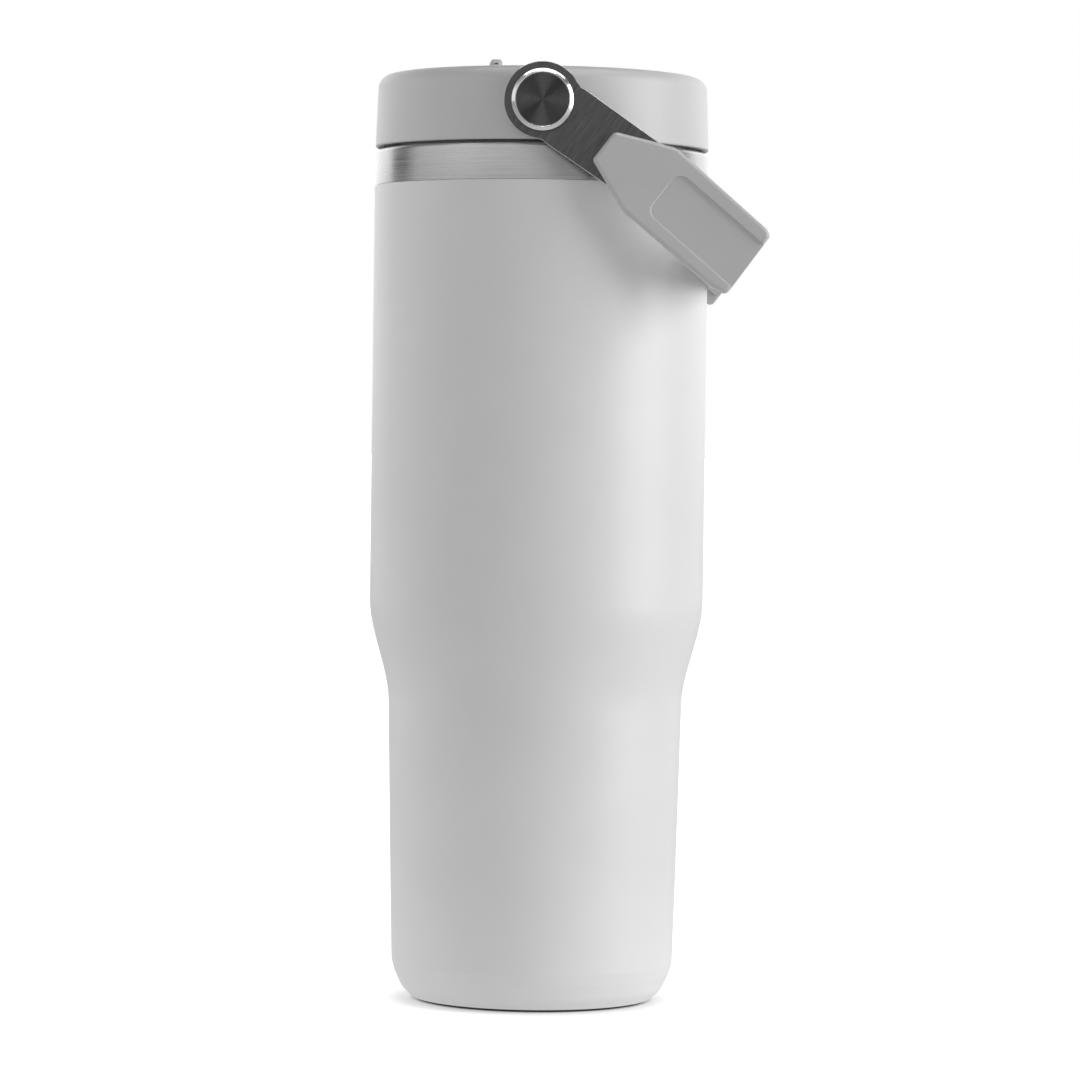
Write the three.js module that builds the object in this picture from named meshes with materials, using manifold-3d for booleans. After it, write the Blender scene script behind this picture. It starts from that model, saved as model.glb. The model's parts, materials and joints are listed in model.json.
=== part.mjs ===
// Insulated flip-spout water bottle: vacuum-walled steel vessel, screw lid, swing handle.
// Millimetres, +Z up. The origin is the centre of the base pad's underside. The handle hangs
// towards +X, and the handle's pivots lie on the Y direction, front (-Y) and back (+Y).

import * as THREE from 'three';
import { mergeVertices } from 'three/addons/utils/BufferGeometryUtils.js';
import Module from 'manifold-3d';

const wasm = await Module();
wasm.setup();

// ---- driving dimensions -------------------------------------------------------------------

const GAP = 0.3;                   // clearance between pieces that touch or nest
const ROUND = 40;                  // facets round a large turned piece
const SMALL_ROUND = 16;            // facets round a small turned piece

const BODY_R = 45;                 // outer shell above the taper
const LOWER_R = 39.6;              // outer shell just below the taper
const BASE_R = 38;                 // outer shell just above the base chamfer
const FOOT_R = 32.6;               // outer shell's lower edge
const FOOT_Z = 0.7;
const CHAMFER_Z = 10.4;            // top of the base chamfer
const TAPER_LOW_Z = 79.5;
const TAPER_HIGH_Z = 108;
const SHELL_TOP_Z = 218.5;
const SHELL_WALL = 0.6;

const BORE_R = 40.6;               // liner bore above the taper, the bottle's mouth
const LOWER_BORE_R = 35.4;         // liner bore below the taper
const LINER_WALL = 0.6;
const LINER_FLOOR_Z = 7;           // top of the liner's floor
const RIM_Z = 228.5;               // highest point of the bottle's rim
const BAND_R = 44.7;

const PAD_R = 31.5;
const PAD_THICK = 1.6;
const BASE_PLATE_Z = 2;            // underside of the shell's closing plate
const BASE_PLATE_THICK = 0.8;

const THREAD_LEAD = 9;             // two starts, so each turn of the lid lifts it this far
const THREAD_STARTS = 2;
const THREAD_BEAD_R = 0.9;         // rolled, round-crested ridges
const THREAD_SWEEP = 200;          // degrees of ridge for each start
const FEMALE_THREAD_Z = 215.5;     // where the first mouth ridge begins
const FEMALE_THREAD_R = 40.3;      // radius of the ridge's centre line
const MALE_THREAD_R = 39.2;

const LID_BOTTOM_Z = 229.2;
const LID_TOP_Z = 248.6;
const LID_BOTTOM_R = 44.9;
const LID_SHOULDER_R = 44.2;
const LID_WALL = 2.2;
const PLUG_R = 38.9;
const PLUG_BOTTOM_Z = 212;
const PLUG_WALL = 2.2;
const PLUG_FLOOR = 2.8;
const GASKET_LOW_Z = 225.6;
const GASKET_HIGH_Z = 228.4;

const PIVOT_Z = 239.1;             // handle pivots, on the Y axis direction at x = 0
const BOSS_R = 9.3;
const BOSS_FACE_Y = 46.3;
const SCREW_END_Y = 38.8;          // inner end of the pivot's screw
const SCREW_SHANK_R = 1.9;
const ARM_IN_Y = 46.7;             // inner face of each handle arm
const ARM_OUT_Y = 48.2;
const ARM_HEAD_R = 10.1;
const ARM_HALF_WIDTH = 8.65;
const ARM_HOLE_R = 4.4;
const ARM_LENGTH = 60;             // pivot to the hidden end inside the grip
const HANDLE_TILT = 35;            // degrees below the horizontal, with the bar on the body
const PIVOT_CAP_R = 8.1;
const PIVOT_CAP_FACE_R = 6.95;
const PIVOT_CAP_IN_Y = 48.5;
const PIVOT_CAP_OUT_Y = 50.5;

const GRIP_IN_Y = 45.4;            // inner face of the grip's side plates
const GRIP_OUT_Y = 50.6;
const POCKET_DEPTH = 0.8;
const RIVET_R = 1.6;
const RIVETS = [[27, 0.5], [52, 1]];   // two in each arm, each [along, across] the arm

const SPOUT_X = 13;                // spout hinge and straw axis
const SPOUT_Z = 243.5;
const KNUCKLE_R = 6.4;
const KNUCKLE_HALF = 8.5;
const SPOUT_HALF = 7;              // half width of the mouthpiece
const SPOUT_TIP_X = -19;
const SPOUT_BORE_R = 3.3;
const SPOUT_PIN_R = 1.5;

const TAB_TOP_Z = 253;             // finger tab on the folded spout
const TROUGH = { low: -21, high: 22, half: 9.2, floor: 236.6 };
const TROUGH_WALL = 1.6;

const STRAW_R = 4;
const STRAW_BORE_R = 3.3;
const STRAW_LOW_Z = 9;
const STRAW_TOP_Z = 226;
const SOCKET_R = 5.2;              // sleeve that holds the straw in the plug's floor
const SOCKET_TOP_Z = 233.4;

const VENT_X = -12;
const VENT_HOLE_R = 3;

// ---- materials ----------------------------------------------------------------------------

const FINISHES = {
  powder_coat: { color: 0xe9e9e9, roughness: 0.55, metalness: 0 },
  bare_steel: { color: 0xb9b9b9, roughness: 0.32, metalness: 1 },
  arm_steel: { color: 0x565656, roughness: 0.35, metalness: 1 },
  cap_steel: { color: 0x6a6a6a, roughness: 0.25, metalness: 1 },
  lid_plastic: { color: 0xc4c4c4, roughness: 0.45, metalness: 0 },
  grip_plastic: { color: 0xbdbdbd, roughness: 0.4, metalness: 0 },
  silicone: { color: 0xd9d9d9, roughness: 0.6, metalness: 0 },
  straw_plastic: { color: 0xe4e8ea, roughness: 0.2, metalness: 0 },
  copper: { color: 0xb87333, roughness: 0.3, metalness: 1 },
  pad_rubber: { color: 0x2a2a2a, roughness: 0.85, metalness: 0 },
};

// ---- solid helpers ------------------------------------------------------------------------

// Six times the signed volume that the triangles enclose.
function signedVolume(points, corners) {
  const [a, b, c] = [new THREE.Vector3(), new THREE.Vector3(), new THREE.Vector3()];
  let total = 0;
  for (let i = 0; i < corners.length; i += 3) {
    a.fromArray(points, 3 * corners[i]);
    b.fromArray(points, 3 * corners[i + 1]);
    c.fromArray(points, 3 * corners[i + 2]);
    total += a.dot(b.cross(c));
  }
  return total;
}

// A solid from a closed three.js geometry, with its faces turned outwards.
function solid(geometry) {
  const bare = geometry.clone();
  bare.deleteAttribute('normal');
  bare.deleteAttribute('uv');
  const merged = mergeVertices(bare);
  const points = merged.attributes.position.array;
  const all = merged.index.array;
  const corners = [];
  for (let i = 0; i < all.length; i += 3) {
    const [a, b, c] = [all[i], all[i + 1], all[i + 2]];
    if (a !== b && b !== c && c !== a) corners.push(a, b, c);
  }
  if (signedVolume(points, corners) < 0) corners.reverse();
  return new wasm.Manifold(new wasm.Mesh({
    numProp: 3,
    vertProperties: Float32Array.from(points),
    triVerts: Uint32Array.from(corners),
  }));
}

function united(...solids) {
  return solids.reduce((whole, next) => whole.add(next));
}

function cut(body, ...tools) {
  return tools.reduce((left, tool) => left.subtract(tool), body);
}

// A named mesh of one solid in one finish.
function piece(name, body, finish) {
  const { vertProperties, triVerts } = body.getMesh();
  const geometry = new THREE.BufferGeometry();
  geometry.setAttribute('position', new THREE.BufferAttribute(vertProperties, 3));
  geometry.setIndex(new THREE.BufferAttribute(triVerts, 1));
  geometry.computeVertexNormals();
  const mesh = new THREE.Mesh(geometry, new THREE.MeshStandardMaterial(FINISHES[finish]));
  mesh.name = name;
  return mesh;
}

// A LatheGeometry of [radius, height] points; one that starts off the axis is closed on itself.
function lathe(profile, facets) {
  const points = profile.map(([r, h]) => new THREE.Vector2(r, h));
  if (profile[0][0] > 0) points.push(points[0].clone());
  return new THREE.LatheGeometry(points, facets);
}

// Turned about a vertical axis at x.
function turned(profile, facets = ROUND, x = 0) {
  return solid(lathe(profile, facets).rotateX(Math.PI / 2).translate(x, 0, 0));
}

// Turned about the handle's pivot axis; heights are distances from the middle plane.
function pivotTurned(profile, side, facets = SMALL_ROUND) {
  const geometry = lathe(profile, facets);
  if (side < 0) geometry.rotateX(Math.PI);
  return solid(geometry.translate(0, 0, PIVOT_Z));
}

function box(x0, x1, y0, y1, z0, z1) {
  const geometry = new THREE.BoxGeometry(x1 - x0, y1 - y0, z1 - z0);
  return solid(geometry.translate((x0 + x1) / 2, (y0 + y1) / 2, (z0 + z1) / 2));
}

// A cylinder along +Y about the origin, moved by a function to where it belongs.
function rod(radius, length, facets, place) {
  const geometry = new THREE.CylinderGeometry(radius, radius, length, facets);
  place(geometry);
  return solid(geometry);
}

// A flat outline, thickened from one height to the other.
function slab(shape, low, high, curveSegments = 6) {
  const geometry = new THREE.ExtrudeGeometry(
    shape, { depth: high - low, bevelEnabled: false, curveSegments });
  return geometry.translate(0, 0, low);
}

// Points of an arc of a profile, from one angle to the other, in degrees.
function arc(centreR, centreZ, radius, from, to, steps) {
  const points = [];
  for (let i = 0; i <= steps; i += 1) {
    const turn = THREE.MathUtils.degToRad(from + (to - from) * i / steps);
    points.push([centreR + radius * Math.cos(turn), centreZ + radius * Math.sin(turn)]);
  }
  return points;
}

// Profiles of a plain ring and of a plain disc.
function ring(inner, outer, low, high) {
  return [[inner, low], [outer, low], [outer, high], [inner, high]];
}

function disc(radius, low, high) {
  return ring(0, radius, low, high);
}

// A round hole up or down through a floor of the lid.
function floorHole(radius, depth, x, z) {
  return rod(radius, depth, SMALL_ROUND, (g) => g.rotateX(Math.PI / 2).translate(x, 0, z));
}

// An S-shaped taper between two radii.
function taper(lowR, highR, lowZ, highZ, steps) {
  const points = [];
  for (let i = 0; i <= steps; i += 1) {
    const t = i / steps;
    const ease = t * t * (3 - 2 * t);
    points.push([lowR + (highR - lowR) * ease, lowZ + (highZ - lowZ) * t]);
  }
  return points;
}

// ---- screw thread -------------------------------------------------------------------------

const RISE_PER_RADIAN = THREAD_LEAD / (2 * Math.PI);

class Helix extends THREE.Curve {
  constructor(radius, z, start, sweep) {
    super();
    Object.assign(this, { radius, z, start, sweep });
  }

  getPoint(t, target = new THREE.Vector3()) {
    const turn = this.start + this.sweep * t;
    const rise = RISE_PER_RADIAN * this.sweep * t;
    return target.set(
      this.radius * Math.cos(turn), this.radius * Math.sin(turn), this.z + rise);
  }
}

function threadRidges(radius, z) {
  const section = new THREE.Shape();
  section.absarc(0, 0, THREAD_BEAD_R, 0, 2 * Math.PI);
  const sweep = THREE.MathUtils.degToRad(THREAD_SWEEP);
  const ridges = [];
  for (let start = 0; start < THREAD_STARTS; start += 1) {
    const path = new Helix(radius, z, start * 2 * Math.PI / THREAD_STARTS, sweep);
    const settings = { extrudePath: path, steps: 14, curveSegments: 4, bevelEnabled: false };
    ridges.push(solid(new THREE.ExtrudeGeometry(section, settings)));
  }
  return ridges;
}

// ---- vessel -------------------------------------------------------------------------------

function outerShell() {
  const wall = SHELL_WALL;
  const chamferCurve = [[35.3, 3.3], [37.2, 7.4]];
  const stemMiddle = [38.5, 30];
  const insideCorner = [34.4, 4.2];
  const footLipTop = 3.4;
  const outside = [
    [FOOT_R, FOOT_Z],
    ...chamferCurve,
    [BASE_R, CHAMFER_Z],
    stemMiddle,
    ...taper(LOWER_R, BODY_R, TAPER_LOW_Z, TAPER_HIGH_Z, 5),
    [BODY_R, SHELL_TOP_Z],
  ];
  const inside = [
    [BODY_R - wall, SHELL_TOP_Z],
    ...taper(LOWER_R - wall, BODY_R - wall, TAPER_LOW_Z, TAPER_HIGH_Z, 4).reverse(),
    [BASE_R - wall, CHAMFER_Z],
    insideCorner,
    [FOOT_R - wall, footLipTop],
    [FOOT_R - wall, FOOT_Z],
  ];
  return piece('outer_shell', turned([...outside, ...inside]), 'powder_coat');
}

// The bare steel neck rises from the shell and rolls over the rim to meet the liner.
function neckBand() {
  const wall = SHELL_WALL;
  const edge = 1.6;
  const profile = [
    [BAND_R, SHELL_TOP_Z + GAP],
    ...arc(BAND_R - edge, RIM_Z - edge, edge, 0, 90, 3),
    ...arc(BORE_R + GAP, RIM_Z - wall / 2, wall / 2, 90, 270, 3),
    ...arc(BAND_R - edge, RIM_Z - edge, edge - wall, 90, 0, 2),
    [BAND_R - wall, SHELL_TOP_Z + GAP],
  ];
  return piece('neck_band', turned(profile), 'bare_steel');
}

function innerLiner() {
  const wall = LINER_WALL;
  const top = RIM_Z - SHELL_WALL - GAP;
  const curve = 6;
  const draft = 1;
  const curveR = LOWER_BORE_R + wall - curve - draft;
  const curveZ = LINER_FLOOR_Z - wall + curve;
  const outside = [
    [0, LINER_FLOOR_Z - wall],
    ...arc(curveR, curveZ, curve, -90, 0, 3),
    ...taper(LOWER_BORE_R + wall, BORE_R + wall, TAPER_LOW_Z, TAPER_HIGH_Z, 4),
    [BORE_R + wall, top],
  ];
  const inside = [
    [BORE_R, top],
    ...taper(LOWER_BORE_R, BORE_R, TAPER_LOW_Z, TAPER_HIGH_Z, 4).reverse(),
    ...arc(curveR, curveZ, curve - wall, 0, -90, 3),
    [0, LINER_FLOOR_Z],
  ];
  const ridges = threadRidges(FEMALE_THREAD_R, FEMALE_THREAD_Z);
  return piece('inner_liner', united(turned([...outside, ...inside]), ...ridges), 'bare_steel');
}

// ---- inside the vacuum wall, and the base ---------------------------------------------------

function copperFoil() {
  const inner = BORE_R + LINER_WALL + GAP;
  return piece('copper_foil', turned(ring(inner, inner + GAP, 116, 212)), 'copper');
}

// Closes the shell's foot, with a raised dimple round the evacuation hole.
function basePlate() {
  const [low, high] = [BASE_PLATE_Z, BASE_PLATE_Z + BASE_PLATE_THICK];
  const dimple = 1.1;
  const holeR = 1.2;
  const edge = FOOT_R - SHELL_WALL - GAP;
  const profile = [
    [holeR, low + dimple],
    [4.6, low + dimple],
    [5.4, low],
    [edge, low],
    [edge, high],
    [6, high],
    [5.2, high + dimple],
    [holeR, high + dimple],
  ];
  return piece('base_plate', turned(profile), 'bare_steel');
}

// The blob of solder glass that shuts the evacuation hole, inside the dimple.
function vacuumSeal() {
  const [low, high] = [BASE_PLATE_Z, BASE_PLATE_Z + BASE_PLATE_THICK];
  const profile = [[0, low], [3.2, low], [3.8, low + 0.4], [3.8, high], [0, high]];
  return piece('vacuum_seal', turned(profile, SMALL_ROUND), 'bare_steel');
}

function getter() {
  const [low, high] = [4.4, 6];
  const profile = [[0, low], [4, low], [4.6, low + 0.5], [4.6, high], [0, high]];
  return piece('getter', turned(profile, SMALL_ROUND, 14), 'bare_steel');
}

function basePad() {
  const edge = 0.5;
  const profile = [[0, 0], [PAD_R - edge, 0], [PAD_R, edge], [PAD_R, PAD_THICK], [0, PAD_THICK]];
  return piece('base_pad', turned(profile), 'pad_rubber');
}

// ---- lid ----------------------------------------------------------------------------------

function lidGasket() {
  const [inner, outer] = [PLUG_R + GAP, BORE_R - GAP];
  const edge = 0.5;
  const profile = [
    [inner, GASKET_LOW_Z],
    [outer - edge, GASKET_LOW_Z],
    [outer, GASKET_LOW_Z + edge],
    [outer, GASKET_HIGH_Z - edge],
    [outer - edge, GASKET_HIGH_Z],
    [inner, GASKET_HIGH_Z],
  ];
  return piece('lid_gasket', turned(profile), 'silicone');
}

function capShell() {
  const shoulder = 3.6;
  const [shoulderR, shoulderZ] = [LID_SHOULDER_R - shoulder, LID_TOP_Z - shoulder];
  const skirtEdge = 0.4;
  return turned([
    [LID_BOTTOM_R - LID_WALL, LID_BOTTOM_Z],
    [LID_BOTTOM_R - skirtEdge, LID_BOTTOM_Z],
    [LID_BOTTOM_R, LID_BOTTOM_Z + 1.5 * skirtEdge],
    ...arc(shoulderR, shoulderZ, shoulder, 0, 90, 4),
    [0, LID_TOP_Z],
    [0, LID_TOP_Z - LID_WALL],
    ...arc(shoulderR, shoulderZ, shoulder - LID_WALL, 90, 0, 2),
  ]);
}

// The round boss that a handle pivot turns against, and the screw post behind it.
function pivotBoss(side) {
  const rootY = 42.9;
  const edge = 0.4;
  const boss = [
    [0, rootY],
    [BOSS_R, rootY],
    [BOSS_R, BOSS_FACE_Y - edge],
    [BOSS_R - edge, BOSS_FACE_Y],
    [0, BOSS_FACE_Y],
  ];
  const post = disc(5, 37, 43.5);
  return united(pivotTurned(boss, side, 24), pivotTurned(post, side));
}

function lidCap() {
  const { low, high, half, floor } = TROUGH;
  const wall = TROUGH_WALL;
  const top = LID_TOP_Z - LID_WALL / 2;
  const tub = box(low - wall, high + wall, -half - wall, half + wall, floor - wall, top);
  const trough = box(low, high, -half, half, floor, LID_TOP_Z + 1);
  const screwHole = disc(SCREW_SHANK_R + GAP, SCREW_END_Y - 0.5, 50);
  const strawHole = floorHole(SOCKET_R + 0.5, 4, SPOUT_X, floor);
  const ventHole = floorHole(VENT_HOLE_R / 2, 4, VENT_X, floor);
  const pinHole = rod(SPOUT_PIN_R + GAP, 2 * (half + wall + 1), 12,
    (g) => g.translate(SPOUT_X, 0, SPOUT_Z));
  const body = cut(united(capShell(), tub, pivotBoss(-1), pivotBoss(1)),
    trough, strawHole, ventHole, pinHole,
    pivotTurned(screwHole, -1), pivotTurned(screwHole, 1));
  return piece('lid_cap', body, 'lid_plastic');
}

// A threaded cup under the cap, with a bead that holds the gasket up and a flange above it.
function lidPlug() {
  const flangeR = LID_BOTTOM_R - LID_WALL - 0.4;
  const [flangeLow, flangeHigh] = [LID_BOTTOM_Z + 0.4, LID_BOTTOM_Z + 2];
  const inner = PLUG_R - PLUG_WALL;
  const floorTop = PLUG_BOTTOM_Z + PLUG_FLOOR;
  const beadTop = GASKET_LOW_Z - GAP;
  const cup = turned([
    [0, PLUG_BOTTOM_Z],
    [PLUG_R - 1, PLUG_BOTTOM_Z],
    [PLUG_R, PLUG_BOTTOM_Z + 1],
    [PLUG_R, beadTop - 1],
    [PLUG_R + 1, beadTop - 0.8],
    [PLUG_R + 1, beadTop - 0.2],
    [PLUG_R, beadTop],
    [PLUG_R, flangeLow],
    [flangeR, flangeLow],
    [flangeR, flangeHigh],
    [inner, flangeHigh],
    [inner, floorTop],
    [0, floorTop],
  ]);
  const strawHole = floorHole(SOCKET_R + 0.4, 8, SPOUT_X, PLUG_BOTTOM_Z);
  const ventHole = floorHole(VENT_HOLE_R, 8, VENT_X, PLUG_BOTTOM_Z);
  const maleZ = FEMALE_THREAD_Z - THREAD_LEAD / THREAD_STARTS / 2;
  const ridges = threadRidges(MALE_THREAD_R, maleZ);
  return piece('lid_plug', cut(united(cup, ...ridges), strawHole, ventHole), 'lid_plastic');
}

// ---- straw, its socket and seal, and the air valve -------------------------------------------

const PLUG_FLOOR_TOP = PLUG_BOTTOM_Z + PLUG_FLOOR + GAP;
const DUCT_R = SPOUT_BORE_R + 0.1;

function strawSocket() {
  const seat = STRAW_R + GAP;
  const [collarR, collarTop] = [7, PLUG_FLOOR_TOP + 1.6];
  const low = 208;
  const seatTop = STRAW_TOP_Z + GAP;
  const profile = [
    [seat, low],
    [SOCKET_R, low],
    [SOCKET_R, PLUG_FLOOR_TOP],
    [collarR, PLUG_FLOOR_TOP],
    [collarR, collarTop],
    [SOCKET_R, collarTop],
    [SOCKET_R, SOCKET_TOP_Z],
    [DUCT_R, SOCKET_TOP_Z],
    [DUCT_R, seatTop],
    [seat, seatTop],
  ];
  return piece('straw_socket', turned(profile, SMALL_ROUND, SPOUT_X), 'lid_plastic');
}

function spoutSeal() {
  const [low, high] = [SOCKET_TOP_Z + GAP, SPOUT_Z - KNUCKLE_R - 0.4];
  const edge = 0.5;
  const profile = [
    [DUCT_R, low],
    [SOCKET_R, low],
    [SOCKET_R, high - edge],
    [SOCKET_R - edge, high],
    [DUCT_R, high],
  ];
  return piece('spout_seal', turned(profile, SMALL_ROUND, SPOUT_X), 'silicone');
}

function straw() {
  const tube = ring(STRAW_BORE_R, STRAW_R, STRAW_LOW_Z, STRAW_TOP_Z);
  return piece('straw', turned(tube, SMALL_ROUND, SPOUT_X), 'straw_plastic');
}

// A silicone mushroom that lets air in as the drink goes out.
function ventValve() {
  const stemR = VENT_HOLE_R - 0.4;
  const headTop = PLUG_FLOOR_TOP + 1.2;
  const profile = [
    [0, PLUG_BOTTOM_Z - 1.4],
    [1.2, PLUG_BOTTOM_Z - 1.4],
    [stemR, PLUG_BOTTOM_Z + 0.4],
    [stemR, PLUG_FLOOR_TOP],
    [stemR + 2, PLUG_FLOOR_TOP],
    [stemR + 1.6, headTop],
    [0, headTop],
  ];
  return piece('vent_valve', turned(profile, SMALL_ROUND, VENT_X), 'silicone');
}

// ---- spout --------------------------------------------------------------------------------

// The folded spout seen from the side: a round nose, a finger tab and the hinge end.
function spoutSide() {
  const [low, high] = [SPOUT_Z - 3.2, SPOUT_Z + 4.8];
  const nose = 3.2;
  const side = new THREE.Shape();
  side.moveTo(SPOUT_X, low - 2.6);
  side.lineTo(SPOUT_TIP_X + nose, low);
  side.quadraticCurveTo(SPOUT_TIP_X, low, SPOUT_TIP_X, low + nose);
  side.lineTo(SPOUT_TIP_X, high - nose);
  side.quadraticCurveTo(SPOUT_TIP_X, high, SPOUT_TIP_X + nose, high);
  side.lineTo(-15.8, high);
  side.quadraticCurveTo(-14.7, TAB_TOP_Z - 2, -13.9, TAB_TOP_Z);
  side.lineTo(-11, TAB_TOP_Z);
  side.lineTo(-10.8, high);
  side.lineTo(SPOUT_X, high + 0.8);
  return side;
}

function spout() {
  const body = solid(slab(spoutSide(), -SPOUT_HALF, SPOUT_HALF, 4).rotateX(Math.PI / 2));
  const knuckle = rod(KNUCKLE_R, 2 * KNUCKLE_HALF, 24, (g) => g.translate(SPOUT_X, 0, SPOUT_Z));
  const bore = rod(SPOUT_BORE_R, 50, SMALL_ROUND,
    (g) => g.rotateZ(Math.PI / 2).translate(0, 0, SPOUT_Z));
  const depth = KNUCKLE_HALF - 4.7;
  const sockets = [-1, 1].map((end) => rod(SPOUT_PIN_R + GAP, depth + 0.2, 12,
    (g) => g.translate(SPOUT_X, end * (KNUCKLE_HALF + 0.1 - depth / 2), SPOUT_Z)));
  return piece('spout', cut(united(body, knuckle), bore, ...sockets), 'grip_plastic');
}

function spoutPin(name, side) {
  const [near, far] = [5, 11.6];
  const pin = rod(SPOUT_PIN_R, far - near, 12,
    (g) => g.translate(SPOUT_X, side * (near + far) / 2, SPOUT_Z));
  return piece(`spout_pin_${name}`, pin, 'cap_steel');
}

// ---- handle pivots ------------------------------------------------------------------------

// A thin dished cover with a bevelled rim, open on the side of the arm.
function pivotCap(name, side) {
  const innerR = 6.4;
  const faceWall = 0.6;
  const profile = [
    [0, PIVOT_CAP_OUT_Y - faceWall],
    [innerR, PIVOT_CAP_OUT_Y - faceWall],
    [innerR, PIVOT_CAP_IN_Y],
    [PIVOT_CAP_R, PIVOT_CAP_IN_Y],
    [PIVOT_CAP_R, PIVOT_CAP_OUT_Y - 0.8],
    [PIVOT_CAP_FACE_R, PIVOT_CAP_OUT_Y],
    [0, PIVOT_CAP_OUT_Y],
  ];
  return piece(`pivot_cap_${name}`, pivotTurned(profile, side, 32), 'cap_steel');
}

// Bush in the arm's hole, washer over it, and the screw that holds both to the lid.
function pivotParts(name, side) {
  const bore = SCREW_SHANK_R + 0.4;
  const [washerLow, washerHigh] = [ARM_OUT_Y + GAP, ARM_OUT_Y + 0.7];
  const headLow = washerHigh + GAP;
  const headTop = headLow + 0.4;
  const bush = ring(bore, ARM_HOLE_R - 0.35, BOSS_FACE_Y + GAP, ARM_OUT_Y);
  const washer = ring(bore, 6, washerLow, washerHigh);
  const screw = [
    [0, SCREW_END_Y],
    [SCREW_SHANK_R, SCREW_END_Y],
    [SCREW_SHANK_R, headLow],
    [4, headLow],
    [4, headTop],
    [0, headTop],
  ];
  return [
    piece(`pivot_bush_${name}`, pivotTurned(bush, side), 'lid_plastic'),
    piece(`pivot_washer_${name}`, pivotTurned(washer, side), 'bare_steel'),
    piece(`pivot_screw_${name}`, pivotTurned(screw, side), 'bare_steel'),
  ];
}

// ---- handle -------------------------------------------------------------------------------

// From the arm's own plane (along the arm, across it, out from the middle) to the bottle.
function onArm(geometry) {
  geometry.rotateX(Math.PI / 2);
  geometry.rotateY(THREE.MathUtils.degToRad(HANDLE_TILT));
  return geometry.translate(0, 0, PIVOT_Z);
}

// A closed outline through [along, across] points, with across measured downwards.
function outline(points) {
  return new THREE.Shape(points.map(([u, v]) => new THREE.Vector2(u, -v)));
}

function outwards(side, near, far) {
  return side < 0 ? [near, far] : [-far, -near];
}

// A round head on a straight bar, whose end is cut back at its lower corner.
function armShape(spare) {
  const half = ARM_HALF_WIDTH + spare;
  const head = ARM_HEAD_R + spare;
  const end = ARM_LENGTH + spare;
  const neck = Math.asin(half / head);
  const shape = new THREE.Shape();
  shape.absarc(0, 0, head, neck, 2 * Math.PI - neck);
  shape.lineTo(end, -half + 1.2);
  shape.lineTo(end, half - 4);
  shape.lineTo(32, half);
  return shape;
}

function rivetRod(side, radius, near, far, [u, v]) {
  const shape = new THREE.Shape();
  shape.absarc(u, -v, radius, 0, 2 * Math.PI);
  return solid(onArm(slab(shape, ...outwards(side, near, far))));
}

function rivetHoles(side) {
  const [near, far] = [GRIP_IN_Y - 1.4, ARM_OUT_Y + 0.9];
  return RIVETS.map((place) => rivetRod(side, RIVET_R + GAP, near, far, place));
}

function handleArm(name, side) {
  const plate = solid(onArm(slab(armShape(0), ...outwards(side, ARM_IN_Y, ARM_OUT_Y), 24)));
  const pivotHole = pivotTurned(disc(ARM_HOLE_R, ARM_IN_Y - 1, ARM_OUT_Y + 1), side);
  return piece(`handle_arm_${name}`, cut(plate, pivotHole, ...rivetHoles(side)), 'arm_steel');
}

function gripRivets(name, side) {
  const [near, far] = [GRIP_IN_Y + GAP, ARM_OUT_Y + 0.6];
  return RIVETS.map((place, i) => piece(
    `grip_rivet_${name}_${i + 1}`, rivetRod(side, RIVET_R, near, far, place), 'bare_steel'));
}

const GRIP_OUTLINE = [
  [19.9, -4.1], [29.6, -7.9], [35.6, -10], [66.6, -6.7], [68.5, -5.9],
  [68.1, 13.2], [63.7, 13.9], [33.3, 11.2], [29.4, 9.4], [19.5, 5.15],
];
const GRIP_POCKET = [
  [41.6, -5.2], [71, -2.6], [71, 11.2], [42, 8.2], [39.8, 7.6], [38.8, 6],
  [39.3, -3.2], [40, -4.7],
];
const BAR_SECTION = [
  [63.2, -7], [66.6, -6.7], [68.5, -5.9], [68.2, 9.4], [67.2, 10.4],
  [64.4, 10.2], [63.2, 9],
];

// One side plate: its outer face has a shallow pocket, and a slot inside it takes the arm.
function gripSide(side) {
  const plate = solid(onArm(slab(outline(GRIP_OUTLINE),
    ...outwards(side, GRIP_IN_Y, GRIP_OUT_Y))));
  const pocket = solid(onArm(slab(outline(GRIP_POCKET),
    ...outwards(side, GRIP_OUT_Y - POCKET_DEPTH, GRIP_OUT_Y + 1))));
  const slot = solid(onArm(slab(armShape(GAP),
    ...outwards(side, ARM_IN_Y - GAP, ARM_OUT_Y + GAP), 12)));
  return cut(plate, pocket, slot, ...rivetHoles(side));
}

// The two side plates and the bar that a hand carries the bottle by, moulded in one.
function grip() {
  const reach = GRIP_IN_Y + 0.5;
  const bar = solid(onArm(slab(outline(BAR_SECTION), -reach, reach)));
  return piece('grip', united(gripSide(-1), gripSide(1), bar), 'grip_plastic');
}

// ---- assembly -----------------------------------------------------------------------------

const bottle = new THREE.Group();
bottle.add(outerShell(), neckBand(), innerLiner());
bottle.add(copperFoil(), basePlate(), vacuumSeal(), getter(), basePad());
bottle.add(lidGasket(), lidCap(), lidPlug());
bottle.add(strawSocket(), spoutSeal(), straw(), ventValve(), spout(), grip());
for (const [name, side] of [['front', -1], ['back', 1]]) {
  bottle.add(spoutPin(name, side), pivotCap(name, side), ...pivotParts(name, side));
  bottle.add(handleArm(name, side), ...gripRivets(name, side));
}

export default bottle;
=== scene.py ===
"""Looks for the insulated water bottle: fine meshes and procedural materials around the CAD frame."""

import json
import math

import bmesh
import bpy
from mathutils import Matrix, Vector


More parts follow.
